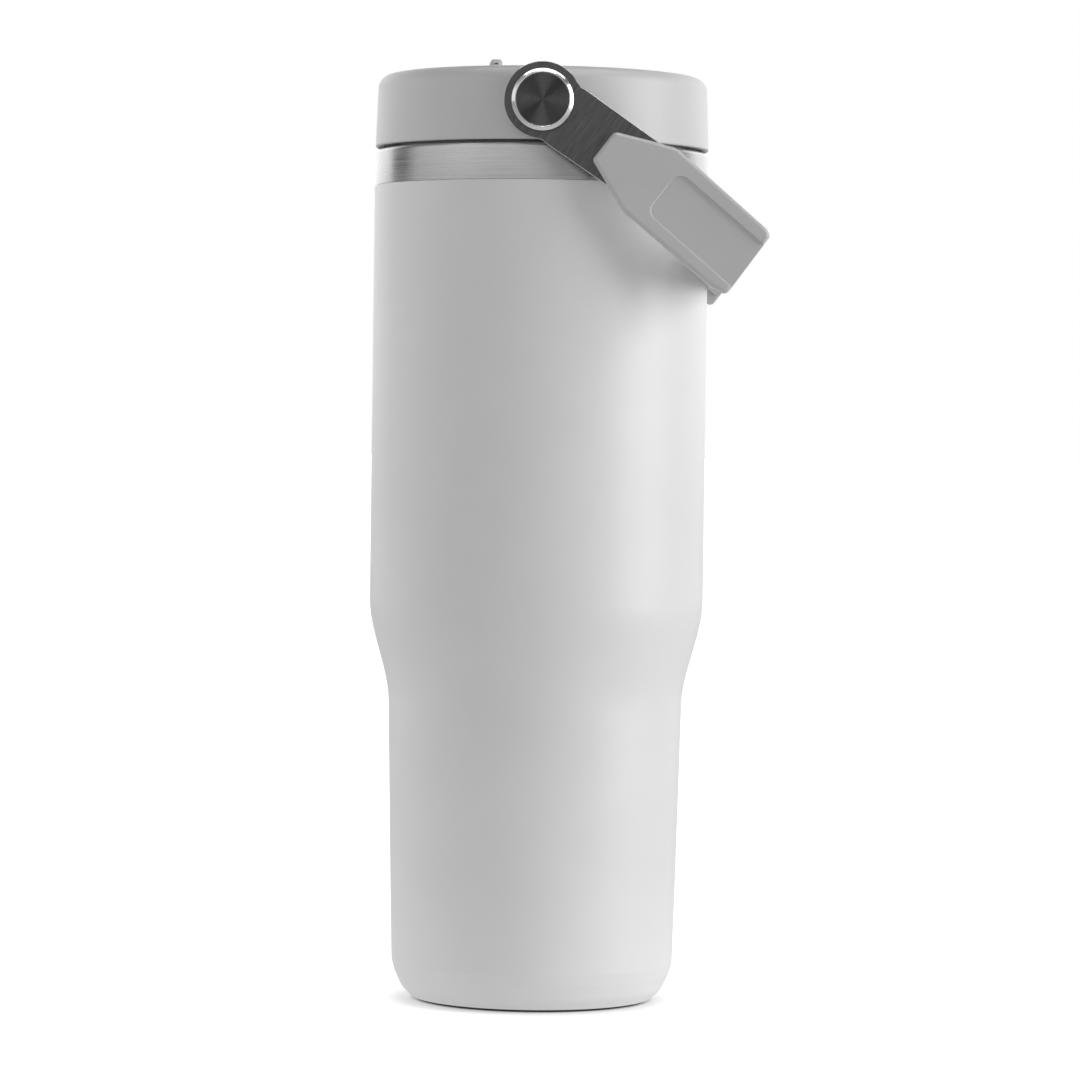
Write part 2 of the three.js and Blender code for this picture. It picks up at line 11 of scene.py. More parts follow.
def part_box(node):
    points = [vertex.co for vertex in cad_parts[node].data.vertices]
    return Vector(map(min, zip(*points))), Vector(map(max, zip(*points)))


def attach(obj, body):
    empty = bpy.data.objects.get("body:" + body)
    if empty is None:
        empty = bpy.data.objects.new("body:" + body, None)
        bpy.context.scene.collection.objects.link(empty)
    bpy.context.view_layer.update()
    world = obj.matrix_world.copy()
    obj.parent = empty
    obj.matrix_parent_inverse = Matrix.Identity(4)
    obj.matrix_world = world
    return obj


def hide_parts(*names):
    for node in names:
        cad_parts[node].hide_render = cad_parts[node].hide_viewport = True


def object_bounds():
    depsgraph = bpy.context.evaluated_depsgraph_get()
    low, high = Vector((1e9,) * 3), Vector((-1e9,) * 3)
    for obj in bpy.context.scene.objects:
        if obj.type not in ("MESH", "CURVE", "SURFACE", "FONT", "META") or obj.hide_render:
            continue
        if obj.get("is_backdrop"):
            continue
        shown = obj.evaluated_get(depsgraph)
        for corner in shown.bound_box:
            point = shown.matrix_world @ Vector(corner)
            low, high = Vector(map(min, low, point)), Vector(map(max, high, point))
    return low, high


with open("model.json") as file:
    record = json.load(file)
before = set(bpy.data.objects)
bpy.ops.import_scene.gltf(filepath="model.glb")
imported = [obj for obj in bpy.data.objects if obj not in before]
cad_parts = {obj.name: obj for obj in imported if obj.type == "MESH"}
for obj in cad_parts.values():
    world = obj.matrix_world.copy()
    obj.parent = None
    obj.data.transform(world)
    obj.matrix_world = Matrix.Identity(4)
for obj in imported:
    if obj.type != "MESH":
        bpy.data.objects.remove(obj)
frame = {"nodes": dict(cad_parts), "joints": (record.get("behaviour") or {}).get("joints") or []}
CAD_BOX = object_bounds()

MM = 0.001
SIDES = {"front": -1, "back": 1}
FACETS = 192           # round the large turned pieces
SMALL_FACETS = 72      # round the small turned pieces
SHARP = 38             # degrees between faces that makes an edge sharp


# ---- places, read from the frame, in millimetres -------------------------------------------

def span(node):
    """A node's lowest and highest corners in millimetres."""
    low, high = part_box(node)
    return Vector(low) / MM, Vector(high) / MM


SHELL_LOW, SHELL_HIGH = span("outer_shell")
BAND_LOW, BAND_HIGH = span("neck_band")
LINER_LOW, LINER_HIGH = span("inner_liner")
PAD_HIGH = span("base_pad")[1]
CAP_LOW, CAP_HIGH = span("lid_cap")
PLUG_LOW, PLUG_HIGH = span("lid_plug")
GASKET_LOW, GASKET_HIGH = span("lid_gasket")
STRAW_LOW, STRAW_HIGH = span("straw")
SOCKET_LOW, SOCKET_HIGH = span("straw_socket")
SEAL_LOW, SEAL_HIGH = span("spout_seal")
VALVE_LOW, VALVE_HIGH = span("vent_valve")
SPOUT_LOW, SPOUT_HIGH = span("spout")
BUTTON_LOW, BUTTON_HIGH = span("pivot_cap_front")
PIN_LOW, PIN_HIGH = span("spout_pin_back")
ARM_LOW, ARM_HIGH = span("handle_arm_back")

JOINTS = {joint["name"]: joint for joint in frame["joints"]}
PIVOT_Z = JOINTS["handle_swing"]["pos_m"][2] / MM
SPOUT_X = JOINTS["spout_flip"]["pos_m"][0] / MM
SPOUT_Z = JOINTS["spout_flip"]["pos_m"][2] / MM
VENT_X = (VALVE_LOW.x + VALVE_HIGH.x) / 2
HANDLE_TILT = 35       # degrees that the hanging handle points below the horizontal
SPARE = 0.3            # clearance round a piece that sits in another


# ---- outlines --------------------------------------------------------------------------------

def rounded(points, closed=True, step=9):
    """The outline through (x, y) or (x, y, radius) corners, with an arc at each radius."""
    outline = []
    count = len(points)
    for i, point in enumerate(points):
        here = Vector(point[:2])
        if len(point) < 3 or (not closed and i in (0, count - 1)):
            outline.append(here)
            continue
        back = Vector(points[i - 1][:2]) - here
        ahead = Vector(points[(i + 1) % count][:2]) - here
        turn = math.pi - back.angle(ahead)
        slope = math.tan(turn / 2)
        reach = min(point[2] * slope, 0.49 * back.length, 0.49 * ahead.length)
        middle = (back.normalized() + ahead.normalized()).normalized()
        centre = here + middle * (reach / slope / math.cos(turn / 2))
        arm = here + back.normalized() * reach - centre
        end = here + ahead.normalized() * reach - centre
        way = 1 if arm.x * end.y - arm.y * end.x > 0 else -1
        steps = max(2, math.ceil(math.degrees(turn) / step))
        for k in range(steps + 1):
            outline.append(centre + Matrix.Rotation(way * turn * k / steps, 2) @ arm)
    return outline


def anticlockwise(outline):
    """The same outline, run anticlockwise."""
    area = sum(a.x * b.y - a.y * b.x for a, b in zip(outline, outline[1:] + outline[:1]))
    return outline if area > 0 else outline[::-1]


def inset(outline, distance):
    """An anticlockwise outline moved inwards by a distance."""
    moved = []
    for i, here in enumerate(outline):
        before = (here - outline[i - 1]).normalized()
        after = (outline[(i + 1) % len(outline)] - here).normalized()
        along = (before + after).normalized()
        inwards = Vector((-along.y, along.x))
        bend = max(0.5, along.dot(after))
        moved.append(here + inwards * (distance / bend))
    return moved


def ease(low, high, z_low, z_high, steps=28):
    """A smooth S-shaped change of radius between two heights."""
    points = []
    for k in range(steps + 1):
        t = k / steps
        points.append((low + (high - low) * t * t * (3 - 2 * t), z_low + (z_high - z_low) * t))
    return points


# ---- meshes ----------------------------------------------------------------------------------

def new_object(name, vertices, faces):
    """An object from vertices in millimetres, with doubled points merged and normals outwards."""
    mesh = bpy.data.meshes.new(name)
    mesh.from_pydata([Vector(v) * MM for v in vertices], [], faces)
    form = bmesh.new()
    form.from_mesh(mesh)
    bmesh.ops.remove_doubles(form, verts=form.verts, dist=1e-7)
    bmesh.ops.recalc_face_normals(form, faces=form.faces)
    form.to_mesh(mesh)
    form.free()
    piece = bpy.data.objects.new(name, mesh)
    bpy.context.scene.collection.objects.link(piece)
    return piece


def upright(centre):
    """Turned about a vertical axis through centre."""
    return lambda r, h, turn: (
        centre[0] + r * math.cos(turn), centre[1] + r * math.sin(turn), centre[2] + h)


def sideways(centre, side):
    """Turned about an axis along Y, with heights running outwards on that side."""
    return lambda r, h, turn: (
        centre[0] + r * math.cos(turn), centre[1] + side * h, centre[2] + r * math.sin(turn))


def turned(name, profile, facets=FACETS, place=upright((0, 0, 0))):
    """A solid of revolution. A profile that starts off the axis closes on itself."""
    profile = [Vector(point[:2]) for point in profile]
    vertices, rings = [], []
    for point in profile:
        first = len(vertices)
        if point.x < 1e-6:
            vertices.append(place(0, point.y, 0))
            rings.append([first] * facets)
            continue
        for k in range(facets):
            vertices.append(place(point.x, point.y, 2 * math.pi * k / facets))
        rings.append(list(range(first, first + facets)))
    if profile[0].x > 1e-6:
        rings.append(rings[0])
    faces = []
    for low, high in zip(rings, rings[1:]):
        for k in range(facets):
            n = (k + 1) % facets
            corners = [low[k], low[n], high[n], high[k]]
            face = [c for i, c in enumerate(corners) if c != corners[i - 1]]
            if len(face) > 2:
                faces.append(face)
    return new_object(name, vertices, faces)


def lofted(name, rings, capped=True):
    """A skin over rings of equally many points."""
    count = len(rings[0])
    vertices = [point for ring in rings for point in ring]
    faces = []
    for i in range(len(rings) - 1):
        for k in range(count):
            n = (k + 1) % count
            faces.append((i * count + k, i * count + n, (i + 1) * count + n, (i + 1) * count + k))
    if capped:
        faces.append(list(range(count)))
        faces.append(list(range(len(vertices) - count, len(vertices))))
    return new_object(name, vertices, faces)


def slab(name, outline, low, high, low_edge, high_edge, place, steps=5):
    """An outline drawn out from low to high, with rounded edges of the two given radii."""
    outline = anticlockwise(outline)
    levels = []
    for k in range(steps + 1):
        turn = math.pi / 2 * k / steps
        levels.append((low_edge * (1 - math.sin(turn)), low + low_edge * (1 - math.cos(turn))))
    for k in range(steps + 1):
        turn = math.pi / 2 * (1 - k / steps)
        levels.append((high_edge * (1 - math.sin(turn)), high - high_edge * (1 - math.cos(turn))))
    rings = [[place(p.x, p.y, depth) for p in inset(outline, step)] for step, depth in levels]
    return lofted(name, rings)


def apply_modifiers(piece):
    """Bakes a piece's modifiers into its mesh."""
    graph = bpy.context.evaluated_depsgraph_get()
    mesh = bpy.data.meshes.new_from_object(piece.evaluated_get(graph))
    piece.modifiers.clear()
    old = piece.data
    piece.data = mesh
    bpy.data.meshes.remove(old)


def combine(piece, tool, operation):
    """Joins a tool to a piece or cuts it out of it, and removes the tool."""
    boolean = piece.modifiers.new("boolean", "BOOLEAN")
    boolean.object = tool
    boolean.operation = operation
    boolean.solver = "EXACT"
    apply_modifiers(piece)
    bpy.data.objects.remove(tool)


def cut(piece, *tools):
    for tool in tools:
        combine(piece, tool, "DIFFERENCE")


def join(piece, *others):
    for other in others:
        combine(piece, other, "UNION")


def dress(piece, material, body, slot, *nodes, weighted=False):
    """Smooths a piece, gives it its material and body, and lets it stand for its CAD nodes."""
    mesh = piece.data
    if weighted:
        form = bmesh.new()
        form.from_mesh(mesh)
        bmesh.ops.dissolve_degenerate(form, dist=2e-6, edges=form.edges)
        form.to_mesh(mesh)
        form.free()
    mesh.polygons.foreach_set("use_smooth", [True] * len(mesh.polygons))
    mesh.set_sharp_from_angle(angle=math.radians(SHARP))
    if weighted:
        normals = piece.modifiers.new("weighted normals", "WEIGHTED_NORMAL")
        normals.keep_sharp = True
        normals.weight = 80
        apply_modifiers(piece)
    piece.data.materials.clear()
    piece.data.materials.append(material)
    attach(piece, body)
    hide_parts(*nodes)
    return piece


# ---- materials ---------------------------------------------------------------------------------

def surface(name, color, roughness, metallic=0.0, **sockets):
    """A material whose shader sockets hold its constant values."""
    material = bpy.data.materials.new(name)
    material.use_nodes = True
    shader = material.node_tree.nodes["Principled BSDF"]
    shader.inputs["Base Color"].default_value = (*color, 1)
    shader.inputs["Roughness"].default_value = roughness
    shader.inputs["Metallic"].default_value = metallic
    for socket, value in sockets.items():
        shader.inputs[socket.replace("_", " ")].default_value = value
    return material


def add_node(material, kind, **values):
    node = material.node_tree.nodes.new(kind)
    for key, value in values.items():
        if key in node.inputs:
            node.inputs[key].default_value = value
        else:
            setattr(node, key, value)
    return node


def place_of(material, scale=(1, 1, 1), location=(0, 0, 0), turn=(0, 0, 0)):
    """Object coordinates, moved, turned and scaled."""
    links = material.node_tree.links
    where = add_node(material, "ShaderNodeTexCoord")
    moved = add_node(material, "ShaderNodeMapping", vector_type="POINT")
    moved.inputs["Location"].default_value = location
    moved.inputs["Rotation"].default_value = turn
    links.new(where.outputs["Object"], moved.inputs["Vector"])
    scaled = add_node(material, "ShaderNodeVectorMath", operation="MULTIPLY")
    scaled.inputs[1].default_value = scale
    links.new(moved.outputs["Vector"], scaled.inputs[0])
    return scaled.outputs[0]


def noise(material, vector, scale, detail=3.0, rough=0.5):
    node = add_node(material, "ShaderNodeTexNoise")
    node.inputs["Scale"].default_value = scale
    node.inputs["Detail"].default_value = detail
    node.inputs["Roughness"].default_value = rough
    material.node_tree.links.new(vector, node.inputs["Vector"])
    return node.outputs["Fac"]


def spread(material, factor, low, high, socket, start=0.3, end=0.7):
    """Drives a shader socket between two values or colours by a factor."""
    links = material.node_tree.links
    shader = material.node_tree.nodes["Principled BSDF"]
    if isinstance(low, tuple):
        ramp = add_node(material, "ShaderNodeValToRGB")
        ramp.color_ramp.elements[0].position = start
        ramp.color_ramp.elements[1].position = end
        ramp.color_ramp.elements[0].color = (*low, 1)
        ramp.color_ramp.elements[1].color = (*high, 1)
        links.new(factor, ramp.inputs["Fac"])
        links.new(ramp.outputs["Color"], shader.inputs[socket])
        return
    node = add_node(material, "ShaderNodeMapRange")
    for key, value in (("From Min", start), ("From Max", end), ("To Min", low), ("To Max", high)):
        node.inputs[key].default_value = value
    links.new(factor, node.inputs["Value"])
    links.new(node.outputs["Result"], shader.inputs[socket])


def bump(material, height, distance, strength=1.0):
    """Adds a height field to the shader's normal, after any bump already there."""
    links = material.node_tree.links
    shader = material.node_tree.nodes["Principled BSDF"]
    node = add_node(material, "ShaderNodeBump")
    node.inputs["Strength"].default_value = strength
    node.inputs["Distance"].default_value = distance
    links.new(height, node.inputs["Height"])
    if shader.inputs["Normal"].is_linked:
        links.new(shader.inputs["Normal"].links[0].from_socket, node.inputs["Normal"])
    links.new(node.outputs["Normal"], shader.inputs["Normal"])


def grey(value):
    return (value, value, value)


def powder_coat():
    material = surface("powder_coat", grey(0.80), 0.42, Coat_Weight=0.12, Coat_Roughness=0.3)
    where = place_of(material)
    spread(material, noise(material, where, 35), grey(0.785), grey(0.815), "Base Color")
    spread(material, noise(material, where, 700), 0.36, 0.47, "Roughness")
    bump(material, noise(material, where, 1100, 2), 0.00005, 0.35)
    bump(material, noise(material, where, 3200, 1), 0.00002, 0.35)
    return material


def brushed_band():
    material = surface("band_steel", grey(0.60), 0.3, 1.0, Anisotropic=0.75, Anisotropic_Rotation=0.25)
    where = place_of(material, (22, 22, 5200))
    lines = noise(material, where, 1.0, 4, 0.65)
    spread(material, lines, grey(0.47), grey(0.70), "Base Color")
    spread(material, lines, 0.22, 0.4, "Roughness")
    bump(material, lines, 0.00004, 0.5)
    ring_tangent(material, "Z")
    return material


def ring_tangent(material, axis):
    node = add_node(material, "ShaderNodeTangent", direction_type="RADIAL", axis=axis)
    shader = material.node_tree.nodes["Principled BSDF"]
    material.node_tree.links.new(node.outputs["Tangent"], shader.inputs["Tangent"])


def drawn_steel():
    material = surface("liner_steel", grey(0.62), 0.24, 1.0)
    where = place_of(material, (60, 60, 900))
    lines = noise(material, where, 1.0, 3)
    spread(material, lines, grey(0.55), grey(0.67), "Base Color")
    spread(material, lines, 0.18, 0.32, "Roughness")
    bump(material, noise(material, place_of(material), 900, 2), 0.00003, 0.3)
    return material


def arm_steel():
    material = surface("arm_steel", grey(0.085), 0.34, 1.0, Anisotropic=0.5)
    turn = (0, math.radians(-HANDLE_TILT), 0)
    where = place_of(material, (6500, 60, 130), turn=turn)
    lines = noise(material, where, 1.0, 5, 0.7)
    spread(material, lines, grey(0.075), grey(0.2), "Base Color", 0.32, 0.72)
    spread(material, lines, 0.26, 0.42, "Roughness")
    bump(material, lines, 0.00003, 0.4)
    return material


def spun_steel():
    """Fine rings round each pivot button's own centre."""
    material = surface("cap_steel", grey(0.09), 0.42, 1.0, Anisotropic=0.95, Anisotropic_Rotation=0.25)
    links = material.node_tree.links
    where = place_of(material, (1, 0, 1), (0, 0, -PIVOT_Z * MM))
    radius = add_node(material, "ShaderNodeVectorMath", operation="LENGTH")
    links.new(where, radius.inputs[0])
    ring = add_node(material, "ShaderNodeCombineXYZ")
    links.new(radius.outputs["Value"], ring.inputs["X"])
    lines = noise(material, ring.outputs["Vector"], 6500, 3, 0.6)
    spread(material, lines, grey(0.05), grey(0.13), "Base Color")
    bump(material, lines, 0.00003, 0.4)
    ring_tangent(material, "Y")
    return material


def bright_edge():
    material = surface("cap_edge_steel", grey(0.82), 0.16, 1.0)
    lines = noise(material, place_of(material), 2400, 2)
    spread(material, lines, 0.12, 0.2, "Roughness")
    return material


def moulded(name, tone, rough, swirl):
    """Satin moulded plastic with a fine spark-eroded texture."""
    material = surface(name, grey(tone), rough, Coat_Weight=0.06, Coat_Roughness=0.35)
    where = place_of(material)
    spread(material, noise(material, where, 55), grey(tone - swirl), grey(tone + swirl), "Base Color")
    spread(material, noise(material, where, 1300), rough - 0.05, rough + 0.06, "Roughness")
    bump(material, noise(material, where, 2200, 2), 0.00003, 0.35)
    return material


def silicone():
    material = surface("silicone", grey(0.72), 0.55, Subsurface_Weight=0.15)
    material.node_tree.nodes["Principled BSDF"].inputs["Subsurface Scale"].default_value = 0.002
    where = place_of(material)
    spread(material, noise(material, where, 500), 0.48, 0.62, "Roughness")
    bump(material, noise(material, where, 1600, 2), 0.00003, 0.4)
    return material


def straw_plastic():
    material = surface("straw_plastic", (0.86, 0.88, 0.9), 0.16, IOR=1.49, Transmission_Weight=0.55)
    where = place_of(material, (900, 900, 12))
    spread(material, noise(material, where, 1.0, 2), 0.12, 0.24, "Roughness")
    bump(material, noise(material, where, 1.0, 2), 0.00002, 0.3)
    return material


def copper_foil():
    material = surface("copper", (0.75, 0.42, 0.28), 0.28, 1.0)
    where = place_of(material)
    spread(material, noise(material, where, 120), 0.2, 0.4, "Roughness")
    bump(material, noise(material, where, 240, 4), 0.0002, 0.4)
    return material


def pad_rubber():
    # Near-black rubber for the base pad. The pad pokes out under the shell, and its near-black tone
    # also stands in for the shade line under the base, so it is partly painted shade.
    material = surface("pad_rubber", grey(0.03), 0.8)
    where = place_of(material)
    spread(material, noise(material, where, 90), grey(0.022), grey(0.04), "Base Color")
    spread(material, noise(material, where, 700), 0.7, 0.9, "Roughness")
    bump(material, noise(material, where, 1400, 3), 0.00006, 0.5)
    return material


# ---- vessel ------------------------------------------------------------------------------------

SHELL_WALL = 0.6
BASE_R = 38            # just above the base chamfer
STEM = (38.5, 30)      # radius and height in the middle of the narrow lower part
LOWER_R = 39.6         # just below the taper
FOOT_R = 32.6
CHAMFER_Z = 10.4
TAPER = (79.5, 108)    # heights where the taper starts and ends
BORE_R = 40.6
LOWER_BORE_R = 35.4
LINER_WALL = 0.6
RIM_ROUND = 1.1
HAIRLINE = 0.04        # between the coat's upper edge and the neck band


def shell_profile():
    top = BAND_LOW.z - HAIRLINE
    outside = [(FOOT_R, SHELL_LOW.z, 0.25), (35.3, 3.3, 6), (37.2, 7.4, 7), (BASE_R, CHAMFER_Z, 2)]
    lower = rounded([(FOOT_R - 0.6, SHELL_LOW.z), *outside, STEM], closed=False, step=4)
    upper = ease(LOWER_R, SHELL_HIGH.x, *TAPER)
    edge = rounded([(SHELL_HIGH.x, top - 3), (SHELL_HIGH.x, top, 0.22),
                    (SHELL_HIGH.x - SHELL_WALL, top)], closed=False)
    wall = SHELL_WALL
    inside = ease(LOWER_R - wall, SHELL_HIGH.x - wall, *TAPER)[::-1]
    floor = [(BASE_R - wall, CHAMFER_Z), (34.6, 4.2), (FOOT_R - wall, 3.4)]
    return [*lower[1:], *upper, *edge, *inside, *floor, (FOOT_R - wall, SHELL_LOW.z)]


def band_profile():
    low, top, outer = BAND_LOW.z, BAND_HIGH.z, BAND_HIGH.x
    wall = SHELL_WALL
    return rounded([
        (outer - wall, low),
        (outer, low, 0.1),
        (outer, top, RIM_ROUND),
        (BORE_R, top, 0.29),
        (BORE_R, top - wall, 0.29),
        (outer - wall, top - wall, RIM_ROUND - wall),
    ])


def liner_profile():
    wall, floor, curve = LINER_WALL, LINER_LOW.z + LINER_WALL, 6
    outside = rounded([(0, LINER_LOW.z), (LOWER_BORE_R - 0.4, LINER_LOW.z, curve),
                       (LOWER_BORE_R + wall, TAPER[0])], closed=False)
    inside = rounded([(LOWER_BORE_R, TAPER[0]), (LOWER_BORE_R - 1, floor, curve - wall),
                      (0, floor)], closed=False)
    return [
        *outside[:-1],
        *ease(LOWER_BORE_R + wall, BORE_R + wall, *TAPER),
        (BORE_R + wall, LINER_HIGH.z),
        (BORE_R, LINER_HIGH.z),
        *ease(LOWER_BORE_R, BORE_R, *TAPER)[::-1],
        *inside[1:],
    ]


THREAD_LEAD = JOINTS["lid_lift"]["range_m"][1] / MM / 2
THREAD_SWEEP = math.radians(200)
RIDGE_R = 0.9
RIDGE_FACETS = 16


def thread_ridge(name, radius, start_z, start):
    """One rolled ridge along the screw's helix, tapering into the wall at its ends."""
    rings = []
    steps = 72
    for k in range(steps + 1):
        t = k / steps
        turn = start + THREAD_SWEEP * t
        size = RIDGE_R * min(1, 0.35 + 5 * min(t, 1 - t))
        rise = start_z + THREAD_LEAD * THREAD_SWEEP * t / (2 * math.pi)
        out = Vector((math.cos(turn), math.sin(turn), 0))
        ring = []
        for j in range(RIDGE_FACETS):
            angle = 2 * math.pi * j / RIDGE_FACETS
            point = out * (radius + size * math.cos(angle))
            ring.append((point.x, point.y, rise + size * math.sin(angle)))
        rings.append(ring)
    return lofted(name, rings)


def threaded(piece, radius, start_z):
    for start in (0, math.pi):
        join(piece, thread_ridge("ridge", radius, start_z, start))


FEMALE_THREAD = (40.3, 215.5)    # ridge centre radius, first height
MALE_THREAD = (39.2, 215.5 - THREAD_LEAD / 4)


def make_vessel(coat, band, steel, foil, rubber):
    dress(turned("shell_coated", shell_profile()), coat, "bottle", "powder_coat", "outer_shell")
    dress(turned("neck_ring", band_profile()), band, "bottle", "band_steel", "neck_band")
    liner = turned("liner_drawn", liner_profile())
    threaded(liner, *FEMALE_THREAD)
    dress(liner, steel, "bottle", "liner_steel", "inner_liner")
    # The base pad shows as a dark line under the shell; its near-black tone is partly painted shade
    # under the base.
    recess_r, recess = 20, 0.35
    pad = rounded([(0, recess), (recess_r, recess, 0.2), (recess_r + 0.6, 0, 0.2),
                   (PAD_HIGH.x, 0, 0.5), (PAD_HIGH.x, PAD_HIGH.z, 0.3), (0, PAD_HIGH.z)],
                  closed=False)
    dress(turned("base_pad_moulded", pad), rubber, "bottle", "pad_rubber", "base_pad")
    for node, material in (("copper_foil", foil), ("base_plate", steel), ("getter", steel),
                           ("vacuum_seal", steel)):
        repaint(node, material)


def repaint(node, material):
    """Gives a CAD node that stays a better material."""
    for slot in frame["nodes"][node].material_slots:
        slot.material = material


# ---- lid ---------------------------------------------------------------------------------------

LID_WALL = 2.2
LID_SKIRT_R = 44.9
LID_SHOULDER_R = 44.2
SHOULDER_ROUND = 3.6
TROUGH = (-21, 22, 9.2, 236.6)   # low x, high x, half width, floor height
TROUGH_CORNER = 3.0
BOSS_R = 9.3
BOSS_ROOT = 42.9       # where the boss starts, out from the bottle's middle plane
STRAW_HOLE_R = 5.7
AIR_HOLE_R = 1.5
PIN_HOLE_R = 1.8
SCREW_HOLE = (2.2, 38.3, 50)     # radius, inner end, outer end


def rounded_box_ring(x0, x1, half, corner, z, grow):
    """A level ring round a box with round corners, grown outwards by a distance."""
    corners = [(x0 - grow, -half - grow), (x1 + grow, -half - grow),
               (x1 + grow, half + grow), (x0 - grow, half + grow)]
    radius = max(0.3, corner + grow)
    return [(p.x, p.y, z) for p in rounded([(x, y, radius) for x, y in corners], step=11.25)]


def trough_cutter():
    """The spout's trough, with a filleted floor and a rounded lip."""
    x0, x1, half, floor = TROUGH
    top = CAP_HIGH.z
    lip, fillet = 0.7, 1.2
    levels = []
    for k in range(6):
        turn = math.pi / 2 * k / 5
        levels.append((floor + fillet * (1 - math.cos(turn)), -fillet * (1 - math.sin(turn))))
    for k in range(6):
        turn = math.pi / 2 * k / 5
        levels.append((top - lip + lip * math.sin(turn), lip * (1 - math.cos(turn))))
    levels.append((top + 2, lip))
    rings = [rounded_box_ring(x0, x1, half, TROUGH_CORNER, z, grow) for z, grow in levels]
    return lofted("trough", rings)


def trough_tub():
    """The walls and floor under the trough."""
    x0, x1, half, floor = TROUGH
    wall = 1.6
    top = CAP_HIGH.z - LID_WALL / 2
    rings = [rounded_box_ring(x0, x1, half, TROUGH_CORNER, z, wall) for z in (floor - wall, top)]
    return lofted("tub", rings)


def cap_profile():
    wall, top, low = LID_WALL, CAP_HIGH.z, CAP_LOW.z
    return rounded([
        (0, top),
        (LID_SHOULDER_R, top + 0.01, SHOULDER_ROUND),
        (LID_SKIRT_R, low, 0.55),
        (LID_SKIRT_R - wall, low, 0.4),
        (LID_SHOULDER_R - wall, top - wall, SHOULDER_ROUND - wall),
        (0, top - wall),
    ], closed=False, step=6)


def boss(side):
    face = CAP_HIGH.y
    outline = rounded([(0, BOSS_ROOT), (BOSS_R, BOSS_ROOT), (BOSS_R, face, 0.6), (0, face)],
                      closed=False)
    return turned("boss", outline, SMALL_FACETS, sideways((0, 0, PIVOT_Z), side))


def plain_rod(radius, low, high, place):
    return turned("rod", [(0, low), (radius, low), (radius, high), (0, high)], SMALL_FACETS, place)


def make_lid_cap(plastic):
    cap = turned("lid_moulded", cap_profile(), FACETS)
    join(cap, trough_tub(), boss(-1), boss(1))
    cut(cap, trough_cutter())
    through = (TROUGH[3] - 3, TROUGH[3] + 2)
    cut(cap, plain_rod(STRAW_HOLE_R, *through, upright((SPOUT_X, 0, 0))))
    cut(cap, plain_rod(AIR_HOLE_R, *through, upright((VENT_X, 0, 0))))
    cut(cap, plain_rod(PIN_HOLE_R, -12, 12, sideways((SPOUT_X, 0, SPOUT_Z), 1)))
    for side in SIDES.values():
        cut(cap, plain_rod(*SCREW_HOLE, sideways((0, 0, PIVOT_Z), side)))
    dress(cap, plastic, "lid", "lid_plastic", "lid_cap", weighted=True)


PLUG_R = 38.9
PLUG_WALL = 2.2
PLUG_FLOOR_Z = PLUG_LOW.z + 2.8
COLLAR_Z = PLUG_FLOOR_Z + SPARE  # what rests on the plug's floor
SOCKET_R = 5.2         # sleeve that holds the straw
DUCT_R = 3.4           # bore of the sleeve above the straw, and of the seal on it
STRAW_R, STRAW_BORE_R = 4.0, 3.3


def make_plug(plastic):
    """The threaded cup under the cap, with a bead under the gasket and a flange at its top."""
    low, top, flange = PLUG_LOW.z, PLUG_HIGH.z, PLUG_HIGH.x
    bead_low, bead_top = 224.2, 225.3
    flange_low = top - 1.6
    plug = turned("plug_moulded", rounded([
        (0, low), (PLUG_R, low, 1.2), (PLUG_R, bead_low), (PLUG_R + 1, bead_low + 0.3, 0.2),
        (PLUG_R + 1, bead_top - 0.2, 0.2), (PLUG_R, bead_top), (PLUG_R, flange_low),
        (flange, flange_low, 0.3), (flange, top, 0.3), (PLUG_R - PLUG_WALL, top),
        (PLUG_R - PLUG_WALL, PLUG_FLOOR_Z, 1), (0, PLUG_FLOOR_Z),
    ], closed=False))
    threaded(plug, *MALE_THREAD)
    through = (low - 2, PLUG_FLOOR_Z + 2)
    cut(plug, plain_rod(SOCKET_R + 0.4, *through, upright((SPOUT_X, 0, 0))))
    cut(plug, plain_rod(3, *through, upright((VENT_X, 0, 0))))
    dress(plug, plastic, "lid", "lid_plastic", "lid_plug", weighted=True)


def make_gasket(rubbery):
    """A silicone ring with a shallow groove round its middle."""
    outer, inner = GASKET_HIGH.x, PLUG_R + SPARE
    low, top = GASKET_LOW.z, GASKET_HIGH.z
    gasket = rounded([
        (inner, low), (outer - 0.5, low, 0.2), (outer, low + 0.6, 0.3), (outer - 0.35, 227, 0.2),
        (outer, top - 0.6, 0.3), (outer - 0.5, top, 0.2), (inner, top)])
    dress(turned("gasket_ring", gasket), rubbery, "seal", "silicone", "lid_gasket")


def make_socket(plastic):
    """A sleeve on the plug's floor that holds the straw, with a collar round its foot."""
    seat, seat_top = STRAW_R + SPARE, STRAW_HIGH.z + SPARE
    collar_r, collar_top = 7, COLLAR_Z + 1.6
    socket = rounded([
        (seat, SOCKET_LOW.z), (SOCKET_R, SOCKET_LOW.z, 0.3), (SOCKET_R, COLLAR_Z),
        (collar_r, COLLAR_Z, 0.2), (collar_r, collar_top, 0.3), (SOCKET_R, collar_top),
        (SOCKET_R, SOCKET_HIGH.z, 0.3), (DUCT_R, SOCKET_HIGH.z, 0.2), (DUCT_R, seat_top),
        (seat, seat_top)])
    dress(turned("socket_moulded", socket, SMALL_FACETS, upright((SPOUT_X, 0, 0))), plastic,
          "lid", "lid_plastic", "straw_socket")


def make_seal(rubbery):
    """The soft lip that the spout's knuckle turns against."""
    low, top = SEAL_LOW.z, SEAL_HIGH.z
    lip = rounded([
        (DUCT_R, low), (SOCKET_R, low, 0.3), (SOCKET_R, top - 0.3, 0.4), (4.5, top, 0.3),
        (DUCT_R, top - 0.2, 0.2)])
    dress(turned("spout_seal_ring", lip, SMALL_FACETS, upright((SPOUT_X, 0, 0))), rubbery,
          "lid", "silicone", "spout_seal")


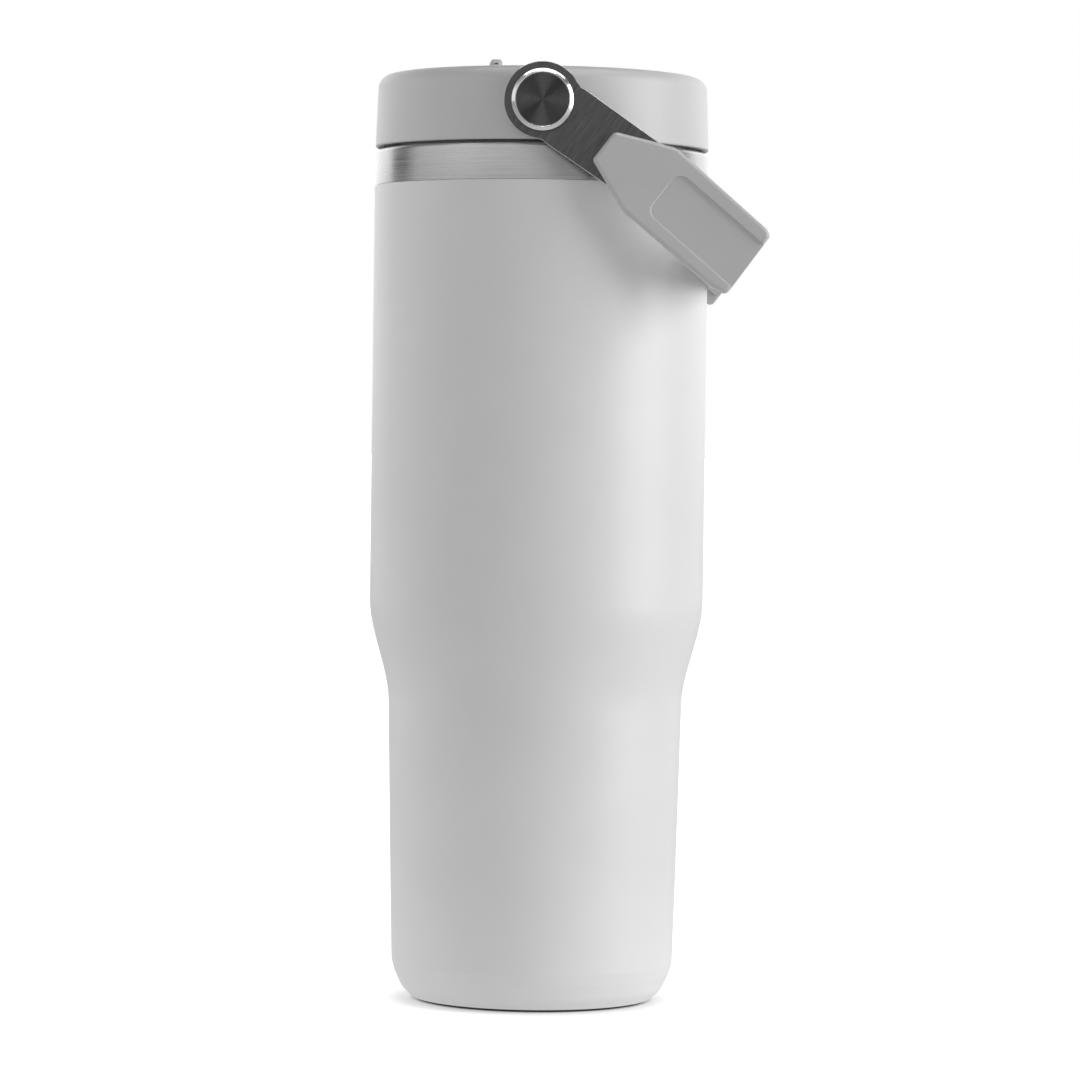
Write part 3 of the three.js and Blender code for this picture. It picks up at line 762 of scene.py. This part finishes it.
def make_valve(rubbery):
    """A mushroom with a pointed stem below the plug's floor and a dimpled head above it."""
    stem, top = 2.6, VALVE_HIGH.z
    valve = rounded([
        (0, VALVE_LOW.z), (0.9, VALVE_LOW.z, 0.3), (stem, 212.4, 0.5), (stem, COLLAR_Z),
        (stem + 2, COLLAR_Z, 0.2), (4.2, top, 0.4), (1.2, top, 0.3), (0.6, top - 1.6, 0.2),
        (0, top - 1.8)], closed=False)
    dress(turned("vent_valve_moulded", valve, SMALL_FACETS, upright((VENT_X, 0, 0))), rubbery,
          "lid", "silicone", "vent_valve")


def make_straw(straw_stuff):
    """A tube with a notch across its lower end, so that it can't seal against the floor."""
    low, top = STRAW_LOW.z, STRAW_HIGH.z
    rows = 40
    wall = [(STRAW_BORE_R, low), (STRAW_R, low, 0.15)]
    for k in range(1, rows):
        wall.append((STRAW_R, low + (top - low) * k / rows))
    wall += [(STRAW_R, top, 0.15), (STRAW_BORE_R, top)]
    straw = turned("straw_tube", rounded(wall), SMALL_FACETS, upright((SPOUT_X, 0, 0)))
    notch = [Vector((-1.8, -1)), Vector((1.8, -1)), Vector((0, 4))]
    tool = slab("notch", notch, -8, 8, 0, 0, lambda x, z, depth: (SPOUT_X + x, depth, low + z),
                steps=1)
    cut(straw, tool)
    dress(straw, straw_stuff, "lid", "straw_plastic", "straw", weighted=True)


# ---- spout -------------------------------------------------------------------------------------

KNUCKLE_R = 6.4
SPOUT_BORE_R = 3.3
PIN_SOCKET = (4.7, 10)           # inner and outer end, out from the bottle's middle plane


def spout_side():
    """The folded spout from the side: a round nose, a finger tab and the rise to the hinge."""
    low, high, tip, tab = SPOUT_Z - 3.2, SPOUT_Z + 4.8, SPOUT_LOW.x, SPOUT_HIGH.z
    return rounded([
        (SPOUT_X, low - 2.6), (tip + 4, low, 3), (tip, low, 3.1), (tip, high, 3.1),
        (-15.8, high, 0.8), (-14.7, tab - 2, 3), (-13.9, tab, 0.9), (-11, tab, 0.9),
        (-10.8, high, 1.2), (2, high, 10), (SPOUT_X - 4, high + 0.9, 5), (SPOUT_X, high + 1.2)])


def make_spout(plastic):
    half, knuckle, edge = 7.0, SPOUT_HIGH.y, 1.4
    body = slab("spout_moulded", spout_side(), -half, half, edge, edge,
                lambda x, z, depth: (x, depth, z))
    barrel = rounded([(0, -knuckle), (KNUCKLE_R, -knuckle, 0.6), (KNUCKLE_R, knuckle, 0.6),
                      (0, knuckle)], closed=False)
    join(body, turned("barrel", barrel, SMALL_FACETS, sideways((SPOUT_X, 0, SPOUT_Z), 1)))
    bore = [(0, -30), (SPOUT_BORE_R, -30), (SPOUT_BORE_R, 30), (0, 30)]
    cut(body, turned("bore", bore, SMALL_FACETS, lambda r, h, turn: (
        h, r * math.cos(turn), SPOUT_Z + r * math.sin(turn))))
    for side in SIDES.values():
        cut(body, plain_rod(PIN_HOLE_R, *PIN_SOCKET, sideways((SPOUT_X, 0, SPOUT_Z), side)))
    dress(body, plastic, "spout", "grip_plastic", "spout", weighted=True)


def make_spout_pins(steel):
    low, high = PIN_LOW.y, PIN_HIGH.y
    radius = (PIN_HIGH.z - PIN_LOW.z) / 2
    for name, side in SIDES.items():
        pin = rounded([(0, low), (radius, low, 0.3), (radius, high, 0.3), (0, high)], closed=False)
        dress(turned(f"spout_pin_{name}_turned", pin, 40, sideways((SPOUT_X, 0, SPOUT_Z), side)),
              steel, "lid", "cap_steel", f"spout_pin_{name}")


# ---- handle pivots -----------------------------------------------------------------------------

FACE_R = 6.95          # flat spun face inside the button's bevel
SHANK_R = 1.9          # the pivot screw's shank
SHANK_HOLE_R = 2.3     # hole for it in the bush and the washer


def make_button(name, place, spun, edge):
    """A thin dished cover: a spun face, sunk a hair, inside a bright bevelled rim."""
    outer, dish = BUTTON_HIGH.x, 6.4
    low, top = -BUTTON_HIGH.y, -BUTTON_LOW.y
    sunk = top - 0.12
    profile = rounded([
        (0, top - 0.6), (dish, top - 0.6), (dish, low), (outer, low, 0.12),
        (outer, top - 0.75, 0.35), (FACE_R + 0.25, top, 0.3), (FACE_R, top - 0.1, 0.1),
        (FACE_R - 0.5, sunk), (0, sunk)], closed=False)
    button = turned(f"pivot_button_{name}", profile, FACETS, place)
    dress(button, spun, "lid", "cap_steel", f"pivot_cap_{name}")
    button.data.materials.append(edge)
    for polygon in button.data.polygons:
        middle = polygon.center / MM
        reach = math.hypot(middle.x, middle.z - PIVOT_Z)
        if reach > FACE_R and abs(middle.y) > low + 0.2:
            polygon.material_index = 1


def make_pivot_hardware(name, place, plastic, steel):
    """The bush in the arm's hole, the washer over it, and the screw that holds both."""
    bush_low, bush_top, bush_r = 46.6, 48.2, 4.05
    bush = rounded([(SHANK_HOLE_R, bush_low), (bush_r, bush_low, 0.2), (bush_r, bush_top, 0.2),
                    (SHANK_HOLE_R, bush_top)])
    dress(turned(f"pivot_bush_{name}_moulded", bush, SMALL_FACETS, place), plastic,
          "lid", "lid_plastic", f"pivot_bush_{name}")
    washer_low, washer_top, washer_r = 48.5, 48.9, 6
    washer = rounded([(SHANK_HOLE_R, washer_low, 0.05), (washer_r, washer_low, 0.1),
                      (washer_r, washer_top, 0.1), (SHANK_HOLE_R, washer_top, 0.05)])
    dress(turned(f"pivot_washer_{name}_stamped", washer, SMALL_FACETS, place), steel,
          "lid", "liner_steel", f"pivot_washer_{name}")
    end, head_low, head_top, head_r = 38.8, 49.2, 49.6, 4
    screw = rounded([(0, end), (SHANK_R - 0.3, end, 0.3), (SHANK_R, end + 0.6), (SHANK_R, head_low),
                     (head_r, head_low, 0.1), (head_r, head_top, 0.15), (0, head_top)],
                    closed=False)
    dress(turned(f"pivot_screw_{name}_turned", screw, SMALL_FACETS, place), steel,
          "lid", "liner_steel", f"pivot_screw_{name}")


def make_pivots(spun, edge, plastic, steel):
    for name, side in SIDES.items():
        place = sideways((0, 0, PIVOT_Z), side)
        make_button(name, place, spun, edge)
        make_pivot_hardware(name, place, plastic, steel)


# ---- handle ------------------------------------------------------------------------------------

TILT = math.radians(HANDLE_TILT)
ARM_HEAD_R = 10.1
ARM_HALF = 8.65        # half of its width
ARM_LENGTH = 60        # pivot to the end hidden in the grip
ARM_IN, ARM_OUT = ARM_LOW.y, ARM_HIGH.y
ARM_HOLE_R = 4.4
RIVETS = ((27, 0.5), (52, 1))    # along and across the arm
RIVET_R, RIVET_HOLE_R = 1.6, 1.9
GRIP_IN, GRIP_OUT = 45.4, 50.6
FACE_ON = 0.85         # share of a face's normal along Y that makes it part of the arm's flat face


def on_arm(side):
    """From (along the arm, down across it, out from the middle) to the bottle's frame."""
    def place(u, v, out):
        x = u * math.cos(TILT) - v * math.sin(TILT)
        z = PIVOT_Z - u * math.sin(TILT) - v * math.cos(TILT)
        return (x, side * out, z)
    return place


def rivet_hole(side, spot, low, high):
    return plain_rod(RIVET_HOLE_R, low, high, sideways(on_arm(side)(*spot, 0), side))


def arm_end(spare):
    """The arm's far end, cut back along its upper edge to stay inside the grip."""
    half, end = ARM_HALF + spare, ARM_LENGTH + spare
    return [(32, -half), (end, -half + 4), (end, half - 1.2)]


def arm_outline():
    """A round head with small steps where it meets the straight arm."""
    head, half = ARM_HEAD_R, ARM_HALF
    steps = 60
    points = []
    start = math.asin((half + 0.3) / head)
    for k in range(steps + 1):
        turn = start + (2 * math.pi - 2 * start) * k / steps
        points.append((head * math.cos(turn), head * math.sin(turn)))
    upper = [(6.2, -half + 0.2, 0.5), (7.4, -half, 0.5)]
    lower = [(7.4, half, 0.5), (6.2, half - 0.2, 0.5)]
    far = [(*corner, radius) for corner, radius in zip(arm_end(0), (3, 1.5, 1.5))]
    return rounded([*points, *upper, *far, *lower])


def make_arm(name, side, steel, edge, plain):
    """A brushed arm with bright cut edges, and the rivets that hold it in the grip."""
    place = on_arm(side)
    bevel = 0.3
    through = (44, 52)
    arm = slab(f"arm_{name}_brushed", arm_outline(), ARM_IN, ARM_OUT, bevel, bevel, place)
    cut(arm, plain_rod(ARM_HOLE_R, *through, sideways((0, 0, PIVOT_Z), side)))
    for spot in RIVETS:
        cut(arm, rivet_hole(side, spot, *through))
    dress(arm, steel, "handle", "arm_steel", f"handle_arm_{name}", weighted=True)
    arm.data.materials.append(edge)
    for polygon in arm.data.polygons:
        if abs(polygon.normal.y) < FACE_ON:
            polygon.material_index = 1
    low, top = 45.6, 48.8
    rivet = rounded([(0, low), (1.2, low + 0.05, 0.5), (RIVET_R, low + 0.4, 0.2),
                     (RIVET_R, top, 0.2), (0, top)], closed=False)
    for i, spot in enumerate(RIVETS):
        middle = place(*spot, 0)
        dress(turned(f"rivet_{name}_{i + 1}_domed", rivet, 40, sideways(middle, side)), plain,
              "handle", "liner_steel", f"grip_rivet_{name}_{i + 1}")


GRIP_OUTLINE = (
    (19.9, -4.1, 1.6), (29.6, -7.9, 6), (35.6, -10, 5), (66.6, -6.7, 1.4), (68.5, -5.9, 1.6),
    (68.1, 13.2, 1.6), (63.7, 13.9, 2), (33.3, 11.2, 6), (29.4, 9.4, 5), (19.5, 5.15, 1.3))
POCKET_OUTLINE = (
    (39.4, -5.45, 3), (73, -2.5), (73, 11.4), (38.8, 8, 2.8))
BAR_SECTION = (
    (63.2, -7, 1.4), (66.6, -6.7, 1.2), (68.5, -5.9, 1.4), (68.2, 9.4, 2.2),
    (67.2, 10.4, 2), (64.4, 10.2, 1.6), (63.2, 9, 1.6))
POCKET_DEPTH = 0.8


def pocket_cutter(side):
    """A shallow pocket with a filleted floor and a softened lip."""
    place = on_arm(side)
    outline = anticlockwise(rounded(POCKET_OUTLINE))
    deep, face = GRIP_OUT - POCKET_DEPTH, GRIP_OUT
    levels = ((0.35, deep), (0.16, deep + 0.05), (0.05, deep + 0.16), (0, deep + 0.35),
              (0, face - 0.22), (-0.07, face - 0.08), (-0.24, face), (-0.24, face + 2))
    rings = [[place(p.x, p.y, out) for p in inset(outline, step)] for step, out in levels]
    return lofted("pocket", rings)


def grip_side(side):
    """One side plate, with its pocket outside and the arm's slot inside it."""
    place = on_arm(side)
    plate = slab("grip_plate", rounded(GRIP_OUTLINE), GRIP_IN, GRIP_OUT, 0.6, 1.1, place, 7)
    cut(plate, pocket_cutter(side))
    mouth, half = 12, ARM_HALF + SPARE
    slot = [Vector(p) for p in ((mouth, -half), *arm_end(SPARE), (mouth, half))]
    cut(plate, slab("slot", slot, ARM_IN - SPARE, ARM_OUT + SPARE, 0, 0, place, 1))
    for spot in RIVETS:
        cut(plate, rivet_hole(side, spot, 44, 49.1))
    return plate


def make_grip(plastic):
    """Both side plates and the bar between them, moulded in one."""
    grip = grip_side(-1)
    grip.name = "grip_moulded"
    bar = slab("bar", rounded(BAR_SECTION), -GRIP_IN - 0.4, GRIP_IN + 0.4, 0, 0, on_arm(1), 1)
    join(grip, bar, grip_side(1))
    dress(grip, plastic, "handle", "grip_plastic", "grip", weighted=True)


# ---- studio ------------------------------------------------------------------------------------

WORLD_STRENGTH = 2.3
# Brightness of the room by azimuth (0 is the camera's side, 90 is +X) and by height (-1 to 1),
# as shares of the world's strength.
ROOM_ROUND = ((-180, 0.62), (-131, 0.62), (-124, 0.06), (-108, 0.06), (-99, 0.34), (-58, 0.46),
              (-25, 0.38), (-8, 0.33), (8, 0.16), (118, 0.16), (131, 0.62), (180, 0.62))
ROOM_UP = ((0, 1.0), (0.35, 1.0), (0.65, 0.35), (1, 0.3))
# Glow of the floor by distance from the bottle's axis in metres, as the camera sees it and as it
# lights the bottle. The glow the camera sees is dim right beside the base: a painted contact shadow.
FLOOR_SHOWN_WITH_PAINTED_SHADOW = ((0.034, 0.15), (0.042, 0.62), (0.1, 1.0))
FLOOR_BOUNCED = ((0.05, 0.38), (0.3, 0.13))
# Name, azimuth, distance, height, size, watts, whether it shows in reflections, and whether it
# lights matt surfaces.
SOFTBOXES = (
    ("key", 74, 1.3, 0.35, (0.9, 1.3), 15, True, True),
    ("fill", -115, 1.3, 0.2, (0.9, 1.3), 7, False, True),
    ("gloss", 8, 0.75, 1.3, (0.7, 0.5), 6, True, False),
    ("strip", 90, 0.1, 1.5, (0.4, 2.0), 8, True, False),
)


def blend(tree, factor, first, second):
    """Mixes two colours or values of one node tree by a factor."""
    mix = tree.nodes.new("ShaderNodeMix")
    mix.data_type = "RGBA"
    colors = [socket for socket in mix.inputs if socket.type == "RGBA"]
    for socket, value in zip(colors, (first, second)):
        if isinstance(value, float):
            socket.default_value = (value, value, value, 1)
        else:
            tree.links.new(value, socket)
    tree.links.new(factor, mix.inputs["Factor"])
    return [socket for socket in mix.outputs if socket.type == "RGBA"][0]


def stepped(tree, value, low, high, stops):
    """A grey ramp over a value that runs from low to high."""
    scale = tree.nodes.new("ShaderNodeMapRange")
    scale.inputs["From Min"].default_value = low
    scale.inputs["From Max"].default_value = high
    tree.links.new(value, scale.inputs["Value"])
    ramp = tree.nodes.new("ShaderNodeValToRGB")
    for _ in stops[2:]:
        ramp.color_ramp.elements.new(1.0)
    for element, (place, tone) in zip(ramp.color_ramp.elements, stops):
        element.position = (place - low) / (high - low)
        element.color = (tone, tone, tone, 1)
    tree.links.new(scale.outputs["Result"], ramp.inputs["Fac"])
    return ramp.outputs["Color"]


def make_floor():
    """A pale floor with a painted contact shadow round the base that whitens away from the bottle, and
    that lights it most from close by.
    """
    size = 40
    mesh = bpy.data.meshes.new("floor")
    mesh.from_pydata([(-size, -size, 0), (size, -size, 0), (size, size, 0), (-size, size, 0)],
                     [], [(0, 1, 2, 3)])
    floor = bpy.data.objects.new("floor", mesh)
    bpy.context.scene.collection.objects.link(floor)
    material = surface("floor_white", grey(0.9), 0.9, Emission_Strength=1.0)
    tree = material.node_tree
    shader = tree.nodes["Principled BSDF"]
    distance = add_node(material, "ShaderNodeVectorMath", operation="LENGTH")
    tree.links.new(place_of(material), distance.inputs[0])
    # painted contact shadow: the glow the camera sees falls to a dim ring right round the base
    shown = stepped(tree, distance.outputs["Value"], 0, 1, FLOOR_SHOWN_WITH_PAINTED_SHADOW)
    bounced = stepped(tree, distance.outputs["Value"], 0, 1, FLOOR_BOUNCED)
    seen = tree.nodes.new("ShaderNodeLightPath")
    tree.links.new(blend(tree, seen.outputs["Is Camera Ray"], bounced, shown),
                   shader.inputs["Emission Color"])
    tree.links.new(blend(tree, seen.outputs["Is Camera Ray"], 0.4, 0.9),
                   shader.inputs["Base Color"])
    mesh.materials.append(material)
    floor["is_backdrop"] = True


def add_softbox(name, azimuth, distance, height, size, power, reflected, diffuse):
    """An area light that faces the bottle. Azimuth is from the camera's side towards +X."""
    light = bpy.data.lights.new(name, "AREA")
    light.shape = "RECTANGLE"
    light.size, light.size_y = size
    light.energy = power
    lamp = bpy.data.objects.new(name, light)
    turn = math.radians(azimuth)
    lamp.location = (distance * math.sin(turn), -distance * math.cos(turn), height)
    aim = Vector((0, 0, 0.13)) - lamp.location
    lamp.rotation_euler = aim.to_track_quat("-Z", "Y").to_euler()
    bpy.context.scene.collection.objects.link(lamp)
    lamp.visible_glossy = reflected
    lamp.visible_diffuse = diffuse


def make_world():
    """A bright backdrop behind the bottle, a dim room in front, and white for the camera."""
    world = bpy.data.worlds.new("studio")
    world.use_nodes = True
    bpy.context.scene.world = world
    tree = world.node_tree
    where = tree.nodes.new("ShaderNodeTexCoord")
    parts = tree.nodes.new("ShaderNodeSeparateXYZ")
    tree.links.new(where.outputs["Generated"], parts.inputs["Vector"])
    azimuth = tree.nodes.new("ShaderNodeMath")
    azimuth.operation = "ARCTAN2"
    tree.links.new(parts.outputs["X"], azimuth.inputs[0])
    forwards = tree.nodes.new("ShaderNodeMath")
    forwards.operation = "MULTIPLY"
    forwards.inputs[1].default_value = -1
    tree.links.new(parts.outputs["Y"], forwards.inputs[0])
    tree.links.new(forwards.outputs[0], azimuth.inputs[1])
    stops = [(math.radians(place), tone) for place, tone in ROOM_ROUND]
    round_about = stepped(tree, azimuth.outputs[0], -math.pi, math.pi, stops)
    upwards = stepped(tree, parts.outputs["Z"], -1, 1, ROOM_UP)
    room = tree.nodes.new("ShaderNodeVectorMath")
    room.operation = "MULTIPLY"
    tree.links.new(round_about, room.inputs[0])
    tree.links.new(upwards, room.inputs[1])
    seen = tree.nodes.new("ShaderNodeLightPath")
    color = blend(tree, seen.outputs["Is Camera Ray"], room.outputs[0], 1 / WORLD_STRENGTH)
    tree.links.new(color, tree.nodes["Background"].inputs["Color"])
    tree.nodes["Background"].inputs["Strength"].default_value = WORLD_STRENGTH


def make_camera():
    """Nearly level, from the front, above the bottle's middle, with a slight lean."""
    distance, height, aside = 1.2, 0.151, 0.0008
    tilt_down, lean = 1.29, 0.75
    data = bpy.data.cameras.new("camera")
    data.lens = 148
    data.sensor_width = 36
    data.clip_start = 0.05
    camera = bpy.data.objects.new("camera", data)
    pitch, roll = math.radians(90 - tilt_down), math.radians(lean)
    turn = Matrix.Rotation(pitch, 4, "X") @ Matrix.Rotation(roll, 4, "Z")
    camera.matrix_world = Matrix.Translation((aside, -distance, height)) @ turn
    bpy.context.scene.collection.objects.link(camera)
    bpy.context.scene.camera = camera


def main():
    bpy.context.scene.view_settings.view_transform = "Standard"
    make_camera()
    steel, rubbery = drawn_steel(), silicone()
    lid_plastic = moulded("lid_plastic", 0.64, 0.4, 0.012)
    grip_plastic = moulded("grip_plastic", 0.58, 0.38, 0.012)
    spun, edge = spun_steel(), bright_edge()
    make_vessel(powder_coat(), brushed_band(), steel, copper_foil(), pad_rubber())
    make_lid_cap(lid_plastic)
    make_plug(lid_plastic)
    make_gasket(rubbery)
    make_socket(lid_plastic)
    make_seal(rubbery)
    make_valve(rubbery)
    make_straw(straw_plastic())
    make_spout(grip_plastic)
    make_spout_pins(spun)
    make_pivots(spun, edge, lid_plastic, steel)
    brushed = arm_steel()
    for name, side in SIDES.items():
        make_arm(name, side, brushed, edge, steel)
    make_grip(grip_plastic)
    make_floor()
    make_world()
    for softbox in SOFTBOXES:
        add_softbox(*softbox)


main()
boxes = {"cad": CAD_BOX, "visual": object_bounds()}
{key: [[float(v) for v in corner] for corner in box] for key, box in boxes.items()}
